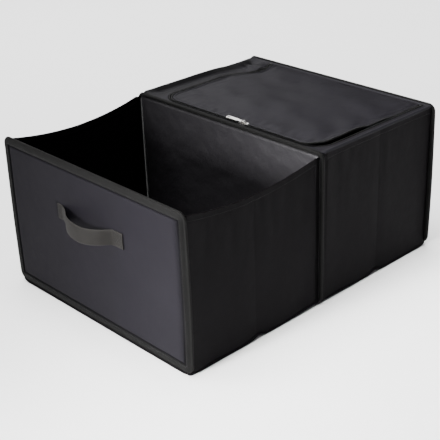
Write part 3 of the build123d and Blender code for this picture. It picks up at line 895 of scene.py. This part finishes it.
def surround_rise(x, y):
    """Height of the surround over its flat place: raised side lips and the bunched corner."""
    lip = 3.2 * MM * bump(y, wall_y - 5.5 * MM, 5.5 * MM) + 1.3 * MM * bump(y, -wall_y + 3 * MM, 3 * MM)
    lip = lip * (1 - 0.6 * smooth(0.26, top_x1, x)) + 1.9 * MM * smooth(lid_hi.x, top_x1, x)
    dip = -4.4 * MM * bump(y, wall_y - 18 * MM, 9 * MM)
    dip = dip * smooth(0.012, 0.04, x) * (1 - smooth(0.25, 0.28, x))
    bunch = 3.2 * MM * bump(np.hypot((x - 0.248) * 0.8, y - 0.19), 0, 13 * MM)
    bunch -= 2.6 * MM * bump(np.hypot((x - 0.264) * 0.9, (y - 0.207) * 0.7), 0, 8 * MM)
    fold = 4.2 * MM * soft_noise(x * 1.3, y, 12 * MM, 91) * bump(np.hypot(x - 0.245, y - 0.195), 0, 32 * MM)
    fold = fold * (1 - smooth(0.266, 0.278, x))
    wave = 0.5 * MM * soft_noise(x, y, 26 * MM, 92) * smooth(6 * MM, 14 * MM, -inside_zip(x, y))
    return lip + dip + bunch + fold + wave


def bend_top(piece):
    """Bakes a piece's transform into its mesh."""
    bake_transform(piece)


def surround_edges():
    """The surround's inner and outer edges, as matching points (x, y) round a closed ring."""
    rear_x = lid_hi.x + 0.4 * MM
    inner, normals = zip_line(lid_edge, rear_x)
    last_side = len(inner) - 1
    corner_x = zip_x + ZIP_CORNER
    outer = []
    for (x, y), (nx, ny) in zip(inner, normals):
        cx = corner_x if x < corner_x else x
        cy = min(max(y, zip_right + ZIP_CORNER), zip_left - ZIP_CORNER)
        reach_x = (cx - top_x0) / -nx if nx < -1e-6 else math.inf
        reach_y = (wall_y - cy * np.sign(ny)) / abs(ny) if abs(ny) > 1e-6 else math.inf
        reach = min(reach_x, reach_y)
        outer.append((cx + nx * reach, cy + ny * reach))
    inner, outer = list(inner), list(outer)
    for y in np.linspace(zip_left + lid_edge, zip_right - lid_edge, 90)[1:-1]:
        inner.append(np.array([rear_x, y]))
        outer.append((top_x1, y * wall_y / (lid_edge - zip_right if y < 0 else zip_left + lid_edge)))
    outer[0] = (top_x1, -wall_y)
    outer[last_side] = (top_x1, wall_y)
    return np.array(inner), np.array(outer)


def surround():
    """The sewn frame of cloth between the zip and the walls' tops, in one closed ring."""
    inner, outer = surround_edges()
    share = np.array([0, 0.03, 0.08, 0.16, 0.26, 0.38, 0.5, 0.62, 0.74, 0.84, 0.9, 0.94, 0.97, 1.0])
    flat = inner[:, None] + (outer - inner)[:, None] * share[None, :, None]
    x, y = flat[..., 0], flat[..., 1]
    edge = np.minimum(np.minimum(x - top_x0, top_x1 - x), wall_y - np.abs(y))
    drop = 1.6 * MM * rolled(edge / (2.2 * MM))
    z = cloth_hi.z + surround_rise(x, y) - drop
    seam = bump(edge, 5.5 * MM, 0.9 * MM) * smooth(0.02, 0.05, x)
    z = z - 0.6 * MM * seam
    upper = warp(place_at(x, y, z))
    lower = upper - [0, 0, TOP_THICK]
    # painted shade in the seam, along the raised left lip, beside the zip's left run and in the fold at the
    # rear left; lighter rims at the edges; darker towards the front edge
    tone = -0.6 * seam + 0.4 * bump(edge, 0.6 * MM, 1.3 * MM) + 0.15 * bump(edge, 3.2 * MM, 1.2 * MM)
    tone -= 0.8 * smooth(wall_y - 15 * MM, wall_y - 12 * MM, y) * (1 - smooth(0.262, 0.275, x))
    tone -= 0.5 * smooth(zip_left - 2 * MM, zip_left + 6 * MM, y) * (1 - smooth(0.19, 0.24, x))
    tone -= 0.6 * bump(x - 0.26 - 0.25 * (y - 0.2), 0, 6 * MM) * smooth(0.172, 0.19, y)
    tone -= 0.25 * smooth(zip_x, top_x0, x)
    cloth = Cloth()
    cloth.sheet(upper, lower, place_at(x, y), np.clip(tone, -1, 1), wrap=True)
    piece = cloth.make("top_surround", lid_cloth)
    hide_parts("top_surround_rear", "top_surround_front")
    bend_top(piece)
    area = (top_x1 - top_x0) * 2 * wall_y
    area -= (lid_hi.x - lid_lo.x) * (zip_left - zip_right - 2 * lid_edge)


def lid():
    """The lid's cloth inside the zip line, with a rolled edge."""
    x0, x1 = lid_lo.x, lid_hi.x
    y0, y1 = zip_right + lid_edge, zip_left - lid_edge
    x = stations(x0, x1, 4.5 * MM, 0.9 * MM, (x0, top_crease, x1), 5 * MM)
    y = stations(y0, y1, 4.5 * MM, 0.9 * MM, (y0, y1), 6 * MM)
    x, y = grid(x, y)
    radius, middle = ZIP_CORNER - lid_edge, (y0 + y1) / 2
    a = np.clip((x0 + radius - x) / radius, 0, 1)
    b = np.clip((np.abs(y - middle) - ((y1 - y0) / 2 - radius)) / radius, 0, 1)
    x = x - radius * rounding(a, b)
    y = y + np.sign(y - middle) * radius * rounding(b, a)
    depth = inside_zip(x, y) - lid_edge
    seam_in, hinge_x = 5.0 * MM, x1 - 8 * MM
    ahead = 1 - smooth(hinge_x, x1, x)
    roll = 0.9 * MM * bump(depth, 2.0 * MM, 1.6 * MM) * ahead
    seam = bump(depth, seam_in, 0.9 * MM) * ahead
    z = cloth_hi.z + lid_rise(x, y) + roll - 0.4 * MM * seam
    upper = warp(undone(place_at(x, y, z), depth))
    lower = upper - place_at(0, 0, LID_THICK + roll * 0.8)
    # painted shade in the edge seam, and a lighter line on the rolled edge
    tone = -0.6 * seam + 0.45 * bump(depth, 1.2 * MM, 1.2 * MM)
    cloth = Cloth()
    cloth.sheet(upper, lower, place_at(x, y), np.clip(tone, -1, 1))
    piece = cloth.make("lid_cloth", lid_cloth)
    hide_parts("lid_rear", "lid_front")
    bend_top(piece)
    x, y = zip_line(-lid_edge - seam_in, hinge_x)[0].T
    path = warp(undone(place_at(x, y, cloth_hi.z + lid_rise(x, y)), inside_zip(x, y)))
    threads = Cloth()
    threads.stitches(path - [0, 0, 0.2 * MM], (0, 0, 1), STITCH, THREAD)
    stitching = threads.make("lid_edge_stitches", thread)
    bend_top(stitching)


def zip_half(kind):
    """One zip tape and its row of teeth: outer on the surround, inner on the lid."""
    is_outer = kind == "outer"
    rise = surround_rise if is_outer else lid_rise
    way = 1 if is_outer else -1
    rear = lid_hi.x if is_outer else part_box("zip_tape_inner_rear")[1].x
    offsets = way * np.linspace(0.8, 7.0 if is_outer else 12.0, 7) * MM
    columns = [zip_line(o, rear)[0] for o in offsets]
    flat = np.stack(columns, axis=1)
    height = rise(flat[..., 0], flat[..., 1])
    if is_outer:
        height = np.minimum(height, TAPE_RISE)
    upper = place_at(flat[..., 0], flat[..., 1], tape_top - 0.05 * MM + height)
    if not is_outer:
        upper = undone(upper, inside_zip(flat[..., 0], flat[..., 1]))
    upper = warp(upper)
    lower = upper - [0, 0, 0.65 * MM]
    cloth = Cloth()
    along = lengths_along(flat[:, 0])
    cloth.sheet(upper, lower, place_at(*grid(along, offsets)))
    tape = cloth.make(f"zip_tape_{kind}", zip_tape)
    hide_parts(f"zip_tape_{kind}_rear", f"zip_tape_{kind}_front")
    bend_top(tape)

    phase = 0 if is_outer else TOOTH_PITCH / 2
    root, _ = zip_line(way * 0.9 * MM, rear)
    tip, _ = zip_line(way * 3.3 * MM, rear)
    along = lengths_along(root)
    cloth = Cloth()
    for s in np.arange(1 * MM + phase, along[-1] - 1 * MM, TOOTH_PITCH):
        near = np.array([np.interp(s, along, root[:, c]) for c in (0, 1)])
        out = np.array([np.interp(s, along, tip[:, c]) for c in (0, 1)])
        level = float(rise(np.array(near[0]), np.array(near[1])))
        level = min(level, TAPE_RISE) if is_outer else level
        ends = np.array([[*near, 0.0], [*out, 0.0]])
        ends = warp(ends if is_outer else undone(ends, np.zeros(2)))
        ends[:, 2] = (tape_top + row_top) / 2 + level
        axis = (ends[1] - ends[0]) / np.linalg.norm(ends[1] - ends[0])
        across_tooth = np.cross(axis, [0, 0, 1]) * 0.62 * MM
        cloth.pill(ends[0], ends[1], across_tooth, (0, 0, (row_top - tape_top) / 2), sides=8)
    row = cloth.make(f"zip_teeth_{kind}", teeth)
    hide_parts(f"zip_chain_{kind}_rear", f"zip_chain_{kind}_front")
    bend_top(row)


def end_stops():
    """Crimped stops at the zip line's ends, pinched at their middles."""
    cloth = Cloth()
    middle, half = (stops_lo.z + stops_hi.z) / 2, (stops_hi.z - stops_lo.z) / 2
    pinch = ((0, 0.72), (0.12, 0.94), (0.3, 1), (0.5, 0.86), (0.7, 1), (0.88, 0.94), (1, 0.72))
    turn = np.arange(16) * math.pi / 8
    wide, tall = (np.sign(way) * np.abs(way) ** 0.5 for way in (np.cos(turn), np.sin(turn)))
    for y in (zip_right, zip_left):
        ends = warp(np.array([[stops_lo.x, y, middle], [stops_hi.x, y, middle]]))
        rings = []
        for share, size in pinch:
            x, near_y, z = ends[0] + (ends[1] - ends[0]) * share
            rings.append(place_at(x, near_y + wide * row_reach * size, z + tall * half * size))
        cloth.tube(np.array(rings), False)
    piece = cloth.make("zip_end_stop_crimps", teeth)
    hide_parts("zip_end_stops")
    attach(piece, "top_rear")


surround()
lid()
zip_half("outer")
zip_half("inner")
end_stops()


# ---- handles -----------------------------------------------------------------------------
def handle_line(flat_length):
    """The webbing's middle line from one sewn end to the loop's middle, as (out, y)."""
    end_y, root_y = anchor_hi.y, strap_hi.y
    lift_y, low = end_y - flat_length, WEBBING_THICK
    bow, root = strap_hi.x - panel_out_x - low, 15.5 * MM
    flat = [(low, y) for y in np.linspace(end_y - 0.6 * MM, lift_y, 22, endpoint=False)]
    lead = (lift_y - root_y) * 0.32
    rise = geometry.interpolate_bezier((low, lift_y, 0), (low + 2 * MM, lift_y - lead, 0),
                                       (root - 5 * MM, root_y + 6.5 * MM, 0), (root, root_y, 0), 20)
    bend = geometry.interpolate_bezier((root, root_y, 0), (root + 5.5 * MM, root_y - 7.5 * MM, 0),
                                       (bow, 26 * MM, 0), (bow, 0, 0), 40)
    return np.array(flat + [(p[0], p[1]) for p in rise[:-1] + bend])


def handle_webbing(end, side):
    """Both halves of a webbing handle with their sewn ends."""
    bow_start = anchor_hi.y - 26 * MM
    across_share = np.array([-1, -0.985, -0.93, -0.8, -0.55, -0.25, 0, 0.25, 0.55, 0.8, 0.93, 0.985, 1])
    edge_thin = np.sqrt(np.clip(1 - np.abs(across_share) ** 14, 0.05, 1))
    for hand, left, flat_length in (("left", 1, 8 * MM), ("right", -1, 22 * MM)):
        line = handle_line(flat_length)
        step = np.gradient(line, axis=0)
        step /= np.linalg.norm(step, axis=1)[:, None]
        across = np.stack([-step[:, 1], step[:, 0]], -1)
        across *= np.sign(across[:, :1])
        lift_y = anchor_hi.y - flat_length
        sewn = smooth(lift_y - 4 * MM, lift_y, line[:, 1])
        loose = 1 - smooth(strap_hi.y - 4 * MM, lift_y, line[:, 1])
        droop = -4.5 * MM * smooth(0.0, 1.0, loose) * smooth(bow_start, 0, line[:, 1])
        lean = 3.0 * MM * smooth(bow_start, 0, line[:, 1])
        rings = []
        for k in range(len(line)):
            thick = (0.8 + 0.35 * sewn[k]) * MM
            z = handle_z + droop[k] + across_share * webbing_half
            tilt = -lean[k] * (0.5 + across_share / 2) + lean[k] * 0.2
            cup = 0.7 * MM * across_share ** 2 * (1 - sewn[k])
            base_out = line[k, 0] + 0.35 * MM * sewn[k]
            faces = []
            for way in (1, -1):
                out = base_out + way * across[k, 0] * thick * edge_thin + tilt - cup
                y = line[k, 1] + way * across[k, 1] * thick * edge_thin
                points = place_at(side * (panel_out_x + out), left * y, z)
                faces.append(points if way == 1 else points[::-1])
            rings.append(np.concatenate(faces))
        ring_tone = np.concatenate([bump(np.abs(across_share), 1, 0.08)] * 2) * 0.6
        cloth = Cloth()
        cloth.tube(np.array(rings), False, tone=np.tile(ring_tone, (len(line), 1)))
        piece = cloth.make(f"{end}_handle_{hand}_half", webbing, sharp=True)
        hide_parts(f"{end}_handle_strap", f"{end}_handle_anchors")
        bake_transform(piece)


def handle_stitching(end, side):
    """Box stitching on a handle's sewn ends, with a cross in the right one's."""
    threads = Cloth()
    x, half_z = side * (panel_out_x + 2.3 * MM), 10 * MM
    for left, half_y in ((1, 1.8 * MM), (-1, 8.5 * MM)):
        middle = left * (anchor_hi.y - half_y - 3 * MM)
        low, high, near, far = handle_z - half_z, handle_z + half_z, middle - half_y, middle + half_y
        corners = [(near, low), (far, low), (far, high), (near, high)]
        rows = list(zip(corners, corners[1:] + corners[:1]))
        if left < 0:
            rows += [(corners[0], corners[2]), (corners[3], corners[1])]
        for (y0, z0), (y1, z1) in rows:
            path = place_at(x, np.linspace(y0, y1, 12), np.linspace(z0, z1, 12))
            threads.stitches(path, (side, 0, 0), 2.6 * MM, 0.32 * MM)
    stitching = threads.make(f"{end}_handle_box_stitches", thread)
    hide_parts(f"{end}_handle_stitching")
    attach(stitching, f"{end}_panel")


for end, side in (("front", -1), ("rear", 1)):
    handle_webbing(end, side)
    handle_stitching(end, side)


# ---- CAD nodes that show -------------------------------------------------------------------
def paint(node, material):
    """Gives a CAD node its material."""
    piece = bpy.data.objects[node]
    for index in range(max(len(piece.material_slots), 1)):
        if piece.material_slots:
            piece.material_slots[index].link = "OBJECT"
            piece.material_slots[index].material = material
        else:
            piece.data.materials.append(material)


for node in ("zip_slider_body", "zip_slider_bridge", "zip_pull_tab"):
    paint(node, nickel)
for node in ("divider_board", "front_panel_board", "rear_panel_board"):
    paint(node, board_core)


# ---- floor, light and camera ---------------------------------------------------------------
def white_floor():
    """A pale floor just under the crate."""
    mesh = bpy.data.meshes.new("studio_floor")
    half, z = 6.0, -0.2 * MM
    mesh.from_pydata([(-half, -half, z), (half, -half, z), (half, half, z), (-half, half, z)],
                     [], [(0, 1, 2, 3)])
    floor = stand("studio_floor", mesh)
    n = Nodes("studio_floor_paper")
    place = n.place(False)
    n.link(n.mix(n.noise(place, 3.0), grey(0.92), grey(0.95)), "Base Color")
    n.shader.inputs["Roughness"].default_value = 0.9
    mesh.materials.append(n.material)


def area_light(name, place, aim, size, power, spread=180):
    """A square softbox. spread is its light's full angle in degrees."""
    light = bpy.data.lights.new(name, "AREA")
    light.spread = math.radians(spread)
    light.shape, light.size, light.energy = "SQUARE", size, power
    lamp = stand(name, light)
    lamp.location = place
    lamp.rotation_euler = (Vector(aim) - Vector(place)).to_track_quat("-Z", "Y").to_euler()


def sun_light(name, direction, spread, strength):
    """A distant light that comes from direction, softened over an angle of spread."""
    light = bpy.data.lights.new(name, "SUN")
    light.angle, light.energy = spread, strength
    lamp = stand(name, light)
    lamp.rotation_euler = Vector(direction).to_track_quat("Z", "Y").to_euler()


def camera():
    """A camera at the photograph's viewing angle, aimed at the lower part of the divider."""
    azimuth, elevation, roll = math.radians(-42.99), math.radians(26.12), math.radians(2.06)
    distance, target = 1.8714, Vector((0.0038, 0.0222, 0.0759))
    level = math.cos(elevation)
    back = Vector((math.sin(azimuth) * level, -math.cos(azimuth) * level, math.sin(elevation)))
    right = (-back).cross(Vector((0, 0, 1))).normalized()
    down = (-back).cross(right)
    across = math.cos(roll) * right + math.sin(roll) * down
    below = -math.sin(roll) * right + math.cos(roll) * down
    data = bpy.data.cameras.new("camera")
    data.lens, data.sensor_width = 85.13, 36
    eye = stand("camera", data)
    place = target + back * distance
    rows = [(across[k], -below[k], back[k], place[k]) for k in range(3)]
    eye.matrix_world = Matrix(rows + [(0, 0, 0, 1)])
    bpy.context.scene.camera = eye


white_floor()
sun_light("overhead_light", (-0.12, 0.1, 1.0), 0.9, 7.5)
area_light("key_softbox", (-2.0, -0.2, 0.6), (-0.29, -0.34, 0.15), 0.5, 10.0, 30)
area_light("inner_softbox", (-0.9, 0.9, 1.3), (0, -0.12, 0.22), 0.4, 0.9, 34)
area_light("back_softbox", (1.0, 1.6, 1.5), (0.1, 0, 0.25), 1.2, 14)
world = bpy.data.worlds.new("studio")
world.use_nodes = True
sky = world.node_tree.nodes["Background"].inputs
sky["Color"].default_value = (1, 1, 1, 1)
sky["Strength"].default_value = 0.22
bpy.context.scene.world = world
camera()
